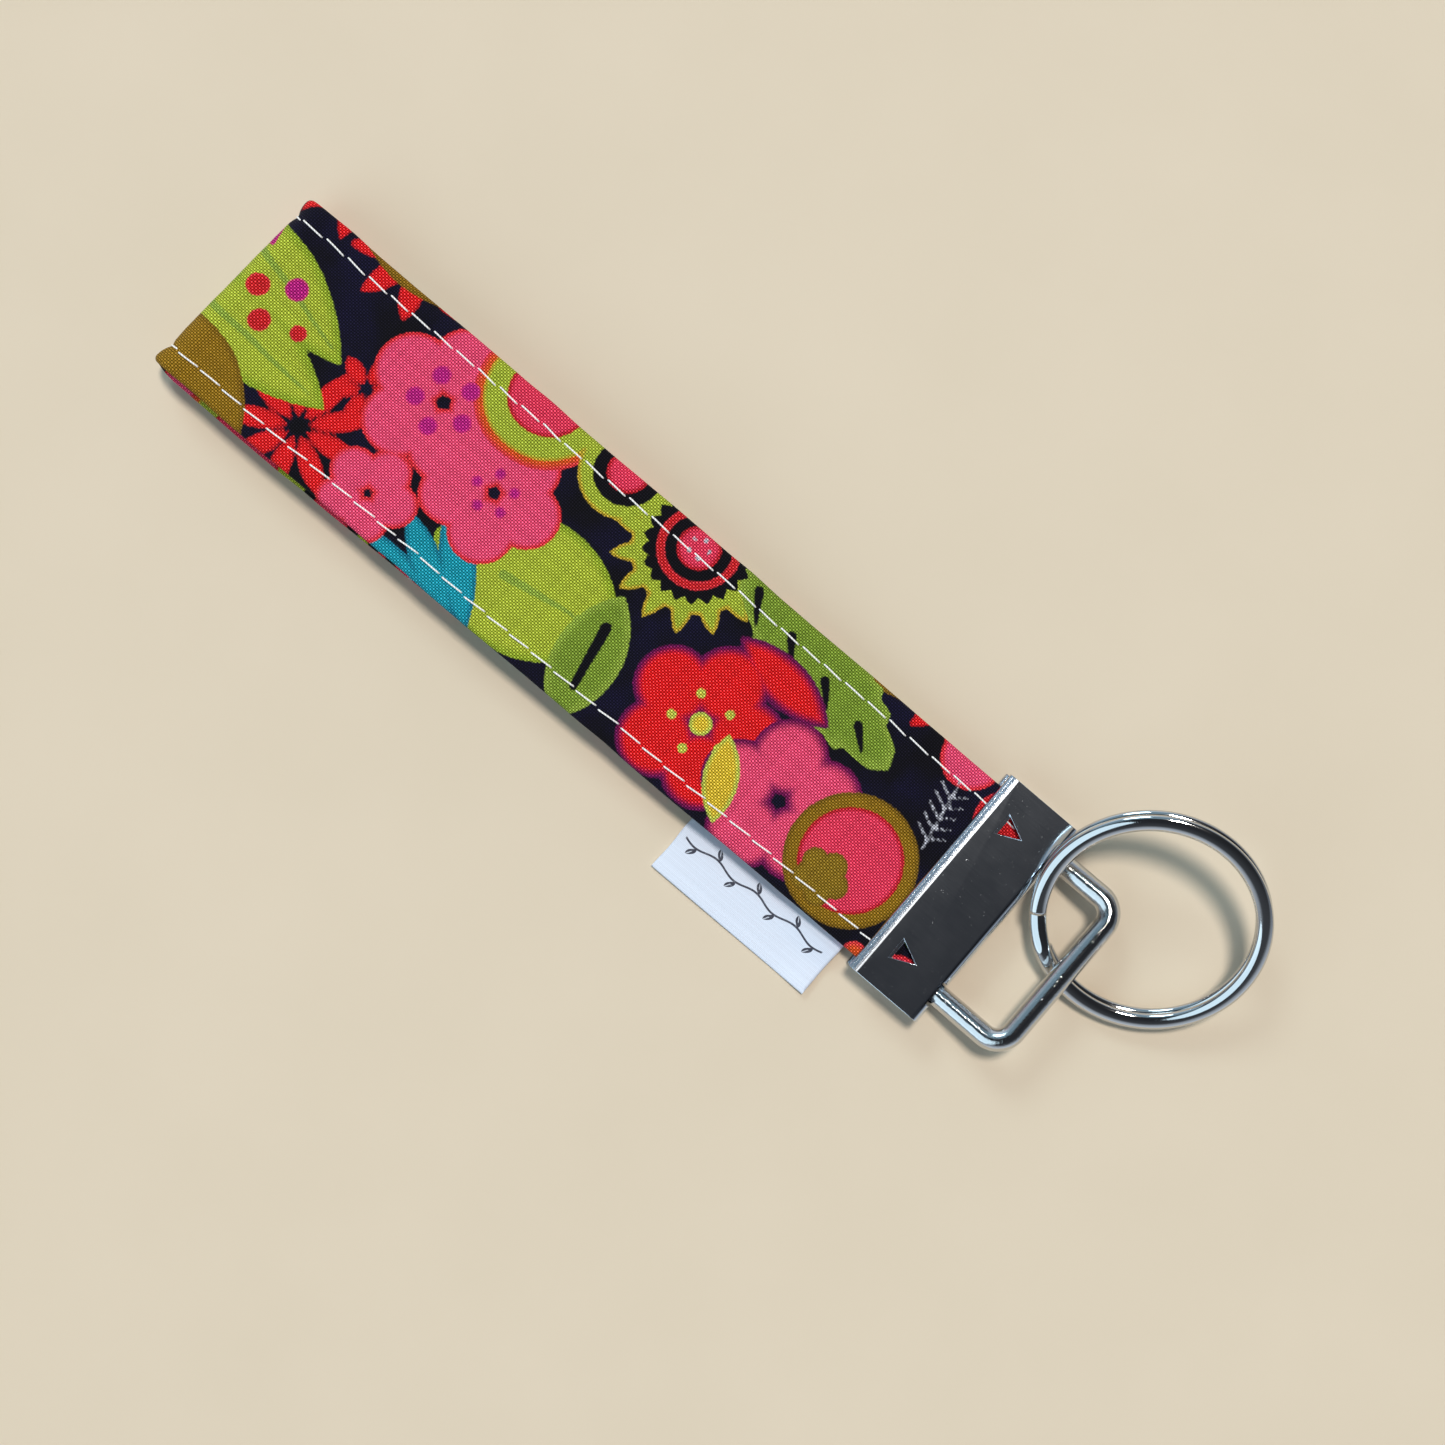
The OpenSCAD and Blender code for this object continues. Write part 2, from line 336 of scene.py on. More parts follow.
def make_thread(name, side, face):
    """One line of stitches on one face of the strap, face 1 outside and -1 inside."""
    rng = np.random.default_rng(20 + 2 * side + face)
    angles = np.linspace(0, 2 * np.pi, 8, endpoint=False)
    section = THREAD_R * np.stack([np.cos(angles), np.sin(angles)], axis=-1)
    t = np.linspace(0, 1, 11)
    parts, along, spins = [], [], []
    for start, end in zip(STITCHES[side][:-1], STITCHES[side][1:]):
        lean = rng.uniform(0.06, 0.16) * side
        s = start + HOLE_GAP + (end - start - 2 * HOLE_GAP) * t
        w = side * STITCH_W + lean * (t - 0.5) * 2
        arch = np.minimum(np.sin(np.pi * t) * 2.8, 1) ** 0.8
        top = STRAP_T / 2 - (THREAD_R if face > 0 and start > LOWER_S else 0.03)
        depth = face * (top - HOLE_DEPTH * (1 - arch))
        centres = strap_point(s, w, depth)
        forward = np.gradient(centres, axis=0)
        forward /= np.linalg.norm(forward, axis=1)[:, None]
        side_way = np.cross(forward, [0, 1, 0])
        side_way /= np.linalg.norm(side_way, axis=1)[:, None]
        up = np.cross(side_way, forward)
        parts.append(tube(centres, side_way, up, section))
        along.append(np.repeat(s, len(angles)))
        spins.append(np.tile(angles, len(t)))
    points, faces = joined(parts)
    thread = new_object(name, points, faces)
    point_attribute(thread, "along", np.concatenate(along))
    point_attribute(thread, "spin", np.concatenate(spins))
    return thread


# ---------------------------------------------------------------- the cloth's print

def turned(a, w, degrees):
    c, s = math.cos(math.radians(degrees)), math.sin(math.radians(degrees))
    return a * c + w * s, w * c - a * s


def dot(a, w, at, r):
    return np.hypot(a - at[0], w - at[1]) - r


def bar(a, w, start, end, r, r_end=None):
    """A rounded bar, or a drop when its two ends have different radii."""
    r_end = r if r_end is None else r_end
    d = np.array(end, float) - start
    t = np.clip(((a - start[0]) * d[0] + (w - start[1]) * d[1]) / (d @ d), 0, 1)
    return np.hypot(a - start[0] - t * d[0], w - start[1] - t * d[1]) - (r + (r_end - r) * t)


def leaf(a, w, start, end, width):
    """A leaf with a point at each end."""
    d = np.array(end, float) - start
    length = math.hypot(*d)
    x = ((a - start[0]) * d[0] + (w - start[1]) * d[1]) / length - length / 2
    y = np.abs(((w - start[1]) * d[0] - (a - start[0]) * d[1]) / length)
    drop = (length ** 2 - width ** 2) / (4 * width)
    return np.hypot(x, y + drop) - (drop + width / 2)


def either(*distances):
    return np.minimum.reduce(distances)


def fan(a, w, at, count, shape, first=0.0):
    """Copies of a shape turned evenly round a point; shape takes how far out and how far sideways."""
    turns = [first + 360 * k / count for k in range(count)]
    return either(*[shape(*turned(a - at[0], w - at[1], angle)) for angle in turns])


def daisy(a, w, at, count, near, far, width, first=0.0):
    return fan(a, w, at, count, lambda x, y: leaf(x, y, (near, 0), (far, 0), width), first)


def blossom(a, w, at, r, first=0.0):
    """Five round petals that overlap at the middle."""
    return fan(a, w, at, 5, lambda x, y: dot(x, y, (0.54 * r, 0), 0.46 * r), first)


def ring_of_dots(a, w, at, count, distance, r, first=0.0):
    return fan(a, w, at, count, lambda x, y: dot(x, y, (distance, 0), r), first)


def toothed(distance, a, w, at, teeth, depth):
    """Roughens an outline with teeth, counted round a point."""
    angle = np.arctan2(w - at[1], a - at[0])
    return distance + depth * (np.abs(((angle / (2 * np.pi) * teeth) % 1) - 0.5) * 2 - 0.5)


def rib(a, w, start, end):
    return bar(a, w, start, end, 0.65, 0.2)


def motifs(a, w):
    """Signed distance to each ink of one repeat of the print, negative inside, in the order of printing.

    The print is a plain garden of leaves, daisies, five-petalled blossoms and ringed dots.
    """
    big_dot, small_dot = (76.6, 14.8), (62.6, 14.0)
    dark_dot, last_dot = (49.4, 12.4), (8.4, -5.4)
    red_bloom, near_bloom = (34.4, -4.4), (20.4, -5.6)
    pink_bloom, middle_bloom, low_bloom = (86.0, 5.4), (73.4, 0.8), (85.0, -9.6)
    ink = {}
    ink["red"] = either(
        daisy(a, w, (97.2, -8.8), 9, 1.2, 9.8, 2.8, 12),
        daisy(a, w, (101.0, 18.6), 9, 1.5, 9.6, 3.1, 5),
        daisy(a, w, (94.2, 0.4), 6, 0.7, 5.0, 2.2, 20),
    )
    ink["lime"] = either(
        leaf(a, w, (128, 8.4), (98.6, 0.6), 9.5),
        leaf(a, w, (128, -3.4), (96.2, -5.0), 10.5),
        leaf(a, w, (75.6, -7.6), (49.6, -3.4), 18.5),
    )
    ink["mustard"] = leaf(a, w, (124, -8.4), (101.6, -14.6), 10.5)
    ink["teal"] = either(
        leaf(a, w, (64.0, -15.4), (77.6, -2.2), 4.6),
        leaf(a, w, (65.0, -16.4), (80.4, -7.6), 4.2),
        leaf(a, w, (67.0, -17.0), (82.4, -12.8), 4.2),
    )
    ink["pink"] = either(
        blossom(a, w, pink_bloom, 10.6, 8),
        blossom(a, w, middle_bloom, 9.4, 30),
        blossom(a, w, low_bloom, 6.6, 20),
        dot(a, w, (5.0, 14.8), 4.2),
        dot(a, w, (123.4, 15.4), 5.4),
    )
    ink["orange"] = either(dot(a, w, big_dot, 9.6), dot(a, w, (0.4, -14.2), 1.6))
    ink["ring"] = either(
        dot(a, w, big_dot, 8.4),
        dot(a, w, small_dot, 6.4),
        daisy(a, w, dark_dot, 15, 4.0, 11.4, 2.7, 4),
        dot(a, w, dark_dot, 8.6),
    )
    ink["shade"] = either(
        leaf(a, w, (52.4, 1.6), (49.0, -16.4), 8.8),
        toothed(leaf(a, w, (45.0, 15.6), (11.6, 6.4), 11.8), a, w, (26, 9), 19, 0.9),
        rib(a, w, (124, 7.4), (101, 1.6)),
        rib(a, w, (124, -3.6), (99, -4.8)),
        rib(a, w, (65.5, -6.2), (54, -4.2)),
    )
    ink["gap"] = either(
        dot(a, w, small_dot, 4.5),
        toothed(dot(a, w, dark_dot, 6.9), a, w, dark_dot, 22, 1.0),
        bar(a, w, (51.4, -3.0), (49.6, -11.4), 0.75, 0.5),
        *[rib(a, w, (40 - 7 * k, 13.2 - 1.6 * k), (37.4 - 7 * k, 9.6 - 1.2 * k)) for k in range(4)],
        dot(a, w, (97.2, -8.8), 1.1),
    )
    ink["scarlet"] = either(
        blossom(a, w, red_bloom, 11.2, 14),
        leaf(a, w, (38.0, 7.4), (21.6, 5.6), 6.2),
    )
    ink["petal"] = blossom(a, w, near_bloom, 10.8, -8)
    ink["bronze"] = dot(a, w, last_dot, 8.8)
    ink["heart"] = either(
        dot(a, w, last_dot, 6.9),
        dot(a, w, big_dot, 5.4),
        dot(a, w, small_dot, 2.8),
        dot(a, w, dark_dot, 2.9),
    )
    ink["magenta"] = either(
        ring_of_dots(a, w, pink_bloom, 5, 3.6, 1.25, 44),
        ring_of_dots(a, w, middle_bloom, 5, 2.6, 0.75, 66),
        dot(a, w, (109.4, 4.2), 1.5),
        leaf(a, w, (121.0, 11.0), (115.6, 6.6), 2.8),
    )
    ink["berry"] = either(
        dot(a, w, (113.4, 1.6), 1.5),
        dot(a, w, (110.2, -1.8), 1.5),
        dot(a, w, (105.4, 0.2), 1.1),
        dot(a, w, (-3.4, 11.0), 4.0),
        np.abs(dot(a, w, dark_dot, 4.9)) - 0.55,
    )
    ink["yellow"] = either(
        dot(a, w, red_bloom, 1.5),
        ring_of_dots(a, w, red_bloom, 5, 3.9, 0.65, 50),
        leaf(a, w, (30.8, -3.0), (25.0, -13.2), 4.6),
    )
    ink["olive"] = either(
        blossom(a, w, (10.0, -9.4), 3.9, 30),
        dot(a, w, (10.0, -9.4), 1.2),
        bar(a, w, (-3.2, -12.4), (-2.0, -10.6), 0.9, 0.4),
    )
    twigs = [(2.7 + 0.3 * k, 3.0 + 1.5 * k) for k in range(5)]
    ink["white"] = either(
        ring_of_dots(a, w, dark_dot, 5, 1.3, 0.36, 20),
        bar(a, w, (2.4, 1.8), (4.2, 11.2), 0.16),
        *[bar(a, w, (x, y), (x - 1.8, y + 1.4), 0.15) for x, y in twigs],
        *[bar(a, w, (x, y), (x + 2.3, y + 1.0), 0.15) for x, y in twigs],
    )
    return ink


REPEAT = 124.0


def cloth_print(along, across):
    """Each ink's signed distance over the whole cover: the repeat, laid again and turned over."""
    under = STRAP_W + STRAP_T
    places = [
        (along, across),
        (REPEAT * 2 - along + 2, across),
        (along + REPEAT * 0.7, across - under),
        (REPEAT * 1.7 - along, across - under),
        (along - REPEAT * 1.5, across - under),
        (along + REPEAT + 6, -across),
    ]
    layers = [motifs(a, w) for a, w in places]
    return {name: np.minimum.reduce([layer[name] for layer in layers]) for name in layers[0]}


# ---------------------------------------------------------------- the label

LABEL_T = 0.5
LABEL_HELD = 2.4  # how much of the tape the seam holds, inside the strap


def label_height(x, y):
    """Height of the label's middle: it leaves the lower layer's seam and droops to the surface."""
    lower = LINE_X[len(LINE_X) // 2:], LINE_Z[len(LINE_X) // 2:]
    root = np.interp(x, *lower)
    out = ease((STRAP_LOW[1] + 1.0 - y) / 6.0)
    raised_corner = 0.35 * ease((x - LABEL_HIGH[0] + 5) / 5) * ease((-18 - y) / 5)
    far = 0.42 + 0.10 * np.sin(x / 5.0 + 1) + raised_corner
    return root + (far - root) * out


def make_label():
    """A tape folded in two: a hairpin section, swept along the strap."""
    root, far = STRAP_LOW[1] + LABEL_HELD, LABEL_LOW[1]
    half, slit = LABEL_T / 2, 0.03
    run = np.linspace(root, far + half, 26)
    tip = np.radians(np.linspace(90, -90, 7))[1:-1]
    outline = [(y, half) for y in run]
    outline += [(far + half - half * math.cos(a), half * math.sin(a)) for a in tip]
    outline += [(y, -half) for y in run[::-1]]
    outline += [(y, -slit) for y in run]
    outline += [(y, slit) for y in run[::-1]]
    outline = np.array(outline)
    x = np.linspace(LABEL_LOW[0], LABEL_HIGH[0], 70)[:, None]
    y, lift = outline[:, 0][None], outline[:, 1][None]
    slack = 0.07 * np.sin(y / 1.1 + 0.4) * ease((y + 14) / -3) * ease((LABEL_LOW[0] + 1.5 - x) / 1.5)
    points = np.stack(np.broadcast_arrays(x + slack, y, label_height(x, y) + lift), axis=-1)
    rows, columns = points.shape[:2]
    faces = side_faces(rows, columns)
    n = len(run)
    for first in (0, (rows - 1) * columns):
        upper = [first + i for i in range(n)]
        inner = [first + columns - 1 - i for i in range(n)]
        lower_in = [first + 2 * n + len(tip) + i for i in range(n)]
        lower = [first + 2 * n + len(tip) - 1 - i for i in range(n)]
        ends = [(upper[i], inner[i], inner[i + 1], upper[i + 1]) for i in range(n - 1)]
        ends += [(lower_in[i], lower[i], lower[i + 1], lower_in[i + 1]) for i in range(n - 1)]
        round_tip = [first + n + i for i in range(len(tip))]
        ends.append((upper[-1], *round_tip, lower[-1], lower_in[-1], inner[-1]))
        faces += ends if first == 0 else [f[::-1] for f in ends]
    label = new_object("label_tape", points.reshape(-1, 3), faces)
    for name, values in (("along", LABEL_HIGH[0] - x), ("out", STRAP_LOW[1] - y)):
        point_attribute(label, name, np.broadcast_to(values, (rows, columns)).ravel())
    return label


# ---------------------------------------------------------------- metal parts

WIRE_D = 3.0
WIRE_BEND_R = 2.8
PIN_BEND_R = 2.0
PIN_REACH = 5.0
BEND_STEPS = 12


def loop_line():
    """The wire's middle line in the loop's own plane: pivot at the origin, bar at +X."""
    pivot = np.array(joints["loop_pivot"]["pos_m"]) / MM
    bar_at = np.array(joints["ring_swing"]["pos_m"]) / MM
    reach = math.hypot(bar_at[0] - pivot[0], bar_at[2] - pivot[2])
    _, high = box_mm("wire_loop")
    arm = high[1] - WIRE_D / 2

    def quarter(centre, r, first, last):
        return [centre + r * np.array([math.cos(a), math.sin(a)])
                for a in np.radians(np.linspace(first, last, BEND_STEPS))]

    half = [np.array([0.0, arm - PIN_BEND_R - PIN_REACH])]
    half += quarter(np.array([PIN_BEND_R, arm - PIN_BEND_R]), PIN_BEND_R, 180, 90)
    half += quarter(np.array([reach - WIRE_BEND_R, arm - WIRE_BEND_R]), WIRE_BEND_R, 90, 0)
    other = [p * [1, -1] for p in half[::-1]]
    return np.array(half + other), pivot, math.atan2(bar_at[2] - pivot[2], bar_at[0] - pivot[0])


def make_wire_loop():
    line, pivot, lean = loop_line()
    steps = np.diff(line, axis=0)
    ways = steps / np.linalg.norm(steps, axis=1)[:, None]
    at = np.concatenate([ways[:1], ways[1:] + ways[:-1], ways[-1:]])
    at /= np.linalg.norm(at, axis=1)[:, None]
    lean_x = np.array([math.cos(lean), 0, math.sin(lean)])
    up = np.array([-math.sin(lean), 0, math.cos(lean)])
    centres = pivot + line[:, :1] * lean_x + line[:, 1:] * np.array([0, 1.0, 0])
    across = at[:, 1:] * lean_x - at[:, :1] * np.array([0, 1.0, 0])
    angles = np.linspace(0, 2 * np.pi, 40, endpoint=False)
    section = WIRE_D / 2 * np.stack([np.cos(angles), np.sin(angles)], axis=-1)
    points, faces = tube(centres, across, np.broadcast_to(up, centres.shape), section)
    return new_object("wire_loop_piece", points, faces)


RING_WIRE_W = 2.2
RING_WIRE_T = 1.3
RING_GAP = 0.1
RING_STEP = 23.0  # degrees over which the wire climbs from one turn to the other
RING_START = 240.0  # where the wire starts, in degrees round the ring
RING_SQUARENESS = 2.1  # the wire's section: 2 is an oval, more is nearer a rectangle


def pressed_section(width, height):
    """The section of a pressed wire."""
    a = np.linspace(0, 2 * np.pi, 36, endpoint=False)
    x, y = np.cos(a), np.sin(a)
    power = 2 / RING_SQUARENESS
    return np.stack([
        width / 2 * np.sign(x) * np.abs(x) ** power,
        height / 2 * np.sign(y) * np.abs(y) ** power,
    ], axis=-1)


def make_split_ring():
    mount = mounts["key_ring"]
    centre = np.array(mount["pos_m"]) / MM
    axis = np.array(mount["axis"]) / np.linalg.norm(mount["axis"])
    level = np.cross([0, 0, 1.0], axis)
    level /= np.linalg.norm(level)
    lean = math.acos(axis[2])
    turn = np.array(Matrix.Rotation(lean, 3, Vector(level)))
    middle = mount["dims"]["r_mm"] + RING_WIRE_W / 2
    a = np.linspace(0, 720 - RING_STEP, 420)
    rise = (RING_WIRE_T + RING_GAP) * (ease((a - (360 - RING_STEP)) / RING_STEP) - 0.5)
    spread = 0.10 * np.exp(-((a / 25) ** 2)) + 0.10 * np.exp(-(((a - a[-1]) / 25) ** 2))
    angle = np.radians(RING_START + a)
    out = np.stack([np.cos(angle), np.sin(angle), np.zeros_like(a)], axis=-1)
    lift = rise + spread * np.sign(rise)
    centres = out * middle + np.stack([0 * a, 0 * a, lift], axis=-1)
    up = np.broadcast_to(np.array([0, 0, 1.0]), centres.shape)
    section = pressed_section(RING_WIRE_W, RING_WIRE_T)
    points, faces = tube(centres, out, up, section)
    points = points @ turn.T + centre
    return new_object("split_ring_piece", points, faces)


def make_clamp():
    """The CAD clamp's own shape with its sheared edges broken."""
    source = frame["nodes"]["clamp_shell"]
    mesh = bpy.data.meshes.new("clamp_piece")
    bm = bmesh.new()
    bm.from_mesh(source.data)
    bmesh.ops.remove_doubles(bm, verts=bm.verts, dist=0.002 * MM)
    bmesh.ops.dissolve_limit(bm, angle_limit=math.radians(1), verts=bm.verts, edges=bm.edges)
    bm.to_mesh(mesh)
    bm.free()
    mesh.materials.clear()
    mesh.polygons.foreach_set("use_smooth", [True] * len(mesh.polygons))
    mesh.set_sharp_from_angle(angle=math.radians(14))
    clamp = bpy.data.objects.new("clamp_piece", mesh)
    bpy.context.scene.collection.objects.link(clamp)
    bevel = clamp.modifiers.new("broken_edges", "BEVEL")
    bevel.width = 0.10 * MM
    bevel.segments = 3
    bevel.limit_method = "ANGLE"
    bevel.angle_limit = math.radians(35)
    weighted = clamp.modifiers.new("flat_faces", "WEIGHTED_NORMAL")
    weighted.keep_sharp = True
    return clamp


# ---------------------------------------------------------------- node helpers

class Nodes:
    """Short names for the shader nodes that the materials are built from."""

    def __init__(self, name):
        self.material = bpy.data.materials.new(name)
        self.material.use_nodes = True
        self.tree = self.material.node_tree
        self.shader = self.tree.nodes["Principled BSDF"]

    def add(self, kind, **settings):
        node = self.tree.nodes.new(kind)
        for key, value in settings.items():
            setattr(node, key, value)
        return node

    def put(self, socket, value):
        if isinstance(value, bpy.types.NodeSocket):
            self.tree.links.new(value, socket)
        elif value is not None:
            socket.default_value = value

    def math(self, operation, a, b=None, c=None):
        node = self.add("ShaderNodeMath", operation=operation)
        for socket, value in zip(node.inputs, (a, b, c)):
            self.put(socket, value)
        return node.outputs[0]

    def attribute(self, name):
        return self.add("ShaderNodeAttribute", attribute_name=name).outputs["Fac"]

    def ramp(self, value, low, high, to_low=0.0, to_high=1.0):
        node = self.add("ShaderNodeMapRange", interpolation_type="SMOOTHSTEP")
        for socket, v in zip(node.inputs, (value, low, high, to_low, to_high)):
            self.put(socket, v)
        return node.outputs[0]

    def mix(self, factor, a, b, blend="MIX"):
        node = self.add("ShaderNodeMix", data_type="RGBA", blend_type=blend)
        self.put(node.inputs["Factor"], factor)
        self.put(node.inputs["A"], a)
        self.put(node.inputs["B"], b)
        return node.outputs["Result"]

    def combine(self, x, y, z=0.0):
        node = self.add("ShaderNodeCombineXYZ")
        for socket, value in zip(node.inputs, (x, y, z)):
            self.put(socket, value)
        return node.outputs[0]

    def noise(self, vector, scale, detail=2.0, roughness=0.5):
        node = self.add("ShaderNodeTexNoise")
        self.put(node.inputs["Vector"], vector)
        node.inputs["Scale"].default_value = scale
        node.inputs["Detail"].default_value = detail
        node.inputs["Roughness"].default_value = roughness
        return node.outputs["Fac"]

    def cell_noise(self, vector):
        node = self.add("ShaderNodeTexWhiteNoise")
        self.put(node.inputs["Vector"], vector)
        return node.outputs["Value"]

    def here(self):
        return self.add("ShaderNodeTexCoord").outputs["Object"]

    def bump(self, height, strength, distance, normal=None):
        node = self.add("ShaderNodeBump")
        node.inputs["Strength"].default_value = strength
        node.inputs["Distance"].default_value = distance
        self.put(node.inputs["Height"], height)
        self.put(node.inputs["Normal"], normal)
        return node.outputs[0]

    def weave(self, along, across, pitch):
        """A plain weave: its height from 0 in the holes to 1 on the crowns, which thread is on top, and
        the number of the thread each way."""
        u = self.math("DIVIDE", along, pitch)
        v = self.math("DIVIDE", across, pitch)
        heights = []
        for run, over, shift in ((u, v, 0.0), (v, u, math.pi)):
            lane = self.math("FLOOR", over)
            middle = self.math("SUBTRACT", self.math("FRACT", over), 0.5)
            round_top = self.math("SQRT", self.math("SUBTRACT", 1.0, self.math(
                "MULTIPLY", self.math("MULTIPLY", middle, middle), 3.6)))
            wave = self.math("COSINE", self.math("ADD", self.math(
                "MULTIPLY", self.math("ADD", run, lane), math.pi), shift - math.pi / 2))
            rise = self.math("MULTIPLY_ADD", wave, 0.32, 0.68)
            heights.append(self.math("MULTIPLY", round_top, rise))
        height = self.math("MAXIMUM", *heights)
        return height, self.math("GREATER_THAN", *heights), self.math("FLOOR", u), self.math("FLOOR", v)


def rgb(r, g, b):
    """A linear colour from the screen's 0 to 255 values."""
    def linear(x):
        x /= 255
        return x / 12.92 if x <= 0.04045 else ((x + 0.055) / 1.055) ** 2.4
    return (linear(r), linear(g), linear(b), 1.0)


# ---------------------------------------------------------------- fabric materials

# Each ink: its colour, its colour along the rim, and how wide the rim is in millimetres.
INKS = {
    "red": (rgb(248, 12, 18), rgb(216, 8, 20), 0.5),
    "lime": (rgb(183, 197, 54), rgb(156, 180, 40), 1.6),
    "mustard": (rgb(156, 116, 12), rgb(134, 98, 10), 1.0),
    "teal": (rgb(14, 164, 186), rgb(8, 130, 156), 0.8),
    "pink": (rgb(255, 77, 121), rgb(244, 42, 54), 0.9),
    "orange": (rgb(238, 86, 20), rgb(240, 54, 60), 0.9),
    "ring": (rgb(178, 194, 54), rgb(206, 172, 40), 0.6),
    "shade": (rgb(132, 160, 48), rgb(152, 178, 62), 1.4),
    "gap": (rgb(8, 6, 16), rgb(10, 8, 20), 0.5),
    "scarlet": (rgb(250, 10, 14), rgb(110, 8, 82), 1.5),
    "petal": (rgb(255, 76, 120), rgb(118, 8, 82), 1.6),
    "bronze": (rgb(154, 115, 12), rgb(130, 96, 10), 0.8),
    "heart": (rgb(250, 56, 92), rgb(206, 16, 36), 0.8),
    "magenta": (rgb(200, 24, 134), rgb(220, 40, 126), 0.4),
    "berry": (rgb(222, 24, 30), rgb(228, 40, 52), 0.4),
    "yellow": (rgb(240, 202, 48), rgb(204, 216, 84), 0.8),
    "olive": (rgb(150, 118, 22), rgb(132, 100, 16), 0.6),
    "white": (rgb(214, 214, 222), rgb(196, 196, 208), 0.2),
}
NAVY_LOW, NAVY_HIGH = rgb(9, 7, 17), rgb(16, 13, 44)
THREAD_PITCH = 0.30
TWIST_PITCH = 0.42


def printed_cotton():
    n = Nodes("printed_cotton")
    along, across = n.attribute("along"), n.attribute("across")
    place = n.combine(along, across)
    wander = n.math("MULTIPLY", n.math("SUBTRACT", n.noise(place, 0.35, 2), 0.5), 0.35)
    height, on_top, warp, weft = n.weave(
        n.math("ADD", along, wander), n.math("ADD", across, wander), THREAD_PITCH)
    bleed = n.math("MULTIPLY", n.math("SUBTRACT", n.noise(place, 2.2, 3), 0.5), 0.42)

    colour = n.mix(n.ramp(n.noise(place, 0.12, 3), 0.35, 0.7), NAVY_LOW, NAVY_HIGH)
    for name, (fill, rim, rim_w) in INKS.items():
        distance = n.math("ADD", n.attribute("print_" + name), bleed)
        ink = n.mix(n.ramp(distance, -rim_w, -0.1), fill, rim)
        colour = n.mix(n.ramp(distance, 0.12, -0.12), colour, ink)
    slub = n.math("ADD", n.cell_noise(n.combine(warp, 3.0)), n.cell_noise(n.combine(weft, 7.0)))
    thickness = n.math("MULTIPLY_ADD", slub, 0.14, 0.87)
    # Painted shade: the holes between the threads are painted darker, and so is the thread that lies underneath at
    # each crossing; the thread-to-thread thickness is the yarn's own tone.
    shade = n.math("MULTIPLY", n.ramp(height, 0.52, 0.97, 0.14, 1.04), thickness)
    shade = n.math("MULTIPLY", shade, n.math("MULTIPLY_ADD", on_top, 0.42, 0.76))
    colour = n.mix(1.0, colour, n.combine(shade, shade, shade), "MULTIPLY")
    # Painted highlight: the crowns of the threads are painted paler, towards near-white, most on the thread that
    # lies on top.
    hue = n.add("ShaderNodeSeparateColor", mode="HSV")
    n.put(hue.inputs[0], colour)
    crown_highlight_strength = n.math("MULTIPLY", n.math("MULTIPLY_ADD", on_top, 0.12, 0.01), hue.outputs[2])
    painted_crown_highlight = n.math("MULTIPLY", n.ramp(height, 0.84, 1.0), n.math("ADD", crown_highlight_strength, 0.006))
    colour = n.mix(painted_crown_highlight, colour, rgb(240, 222, 232))
    n.put(n.shader.inputs["Base Color"], colour)
    n.put(n.shader.inputs["Roughness"], n.ramp(height, 0.5, 1.0, 0.95, 0.78))
    n.shader.inputs["Specular IOR Level"].default_value = 0.12
    n.shader.inputs["Sheen Weight"].default_value = 0.02
    fuzz = n.noise(place, 9.0, 3)
    surface = n.math("ADD", height, n.math("MULTIPLY", fuzz, 0.35))
    n.put(n.shader.inputs["Normal"], n.bump(surface, 0.5, 0.07 * MM))
    return n.material


def sewing_thread():
    n = Nodes("sewing_thread")
    along, spin = n.attribute("along"), n.attribute("spin")
    turns = n.math("MULTIPLY", along, 2 * math.pi / TWIST_PITCH)
    twist = n.math("SINE", n.math("ADD", turns, n.math("MULTIPLY", spin, 2)))
    ply = n.math("MULTIPLY_ADD", twist, 0.5, 0.5)
    # Painted shade and highlight: the thread is painted darker in the grooves between its twisted plies and paler
    # on their crowns.
    n.put(n.shader.inputs["Base Color"], n.mix(ply, rgb(206, 202, 200), rgb(250, 248, 246)))
    n.put(n.shader.inputs["Roughness"], n.ramp(ply, 0, 1, 0.7, 0.5))
    n.shader.inputs["Sheen Weight"].default_value = 0.2
    n.put(n.shader.inputs["Normal"], n.bump(ply, 0.5, 0.05 * MM))
    return n.material


def interfacing():
    n = Nodes("interfacing_fleece")
    fibres = n.noise(n.here(), 3000, 4)
    n.put(n.shader.inputs["Base Color"], n.mix(fibres, rgb(212, 208, 196), rgb(240, 238, 230)))
    n.shader.inputs["Roughness"].default_value = 0.95
    n.put(n.shader.inputs["Normal"], n.bump(fibres, 0.6, 0.1 * MM))
    return n.material


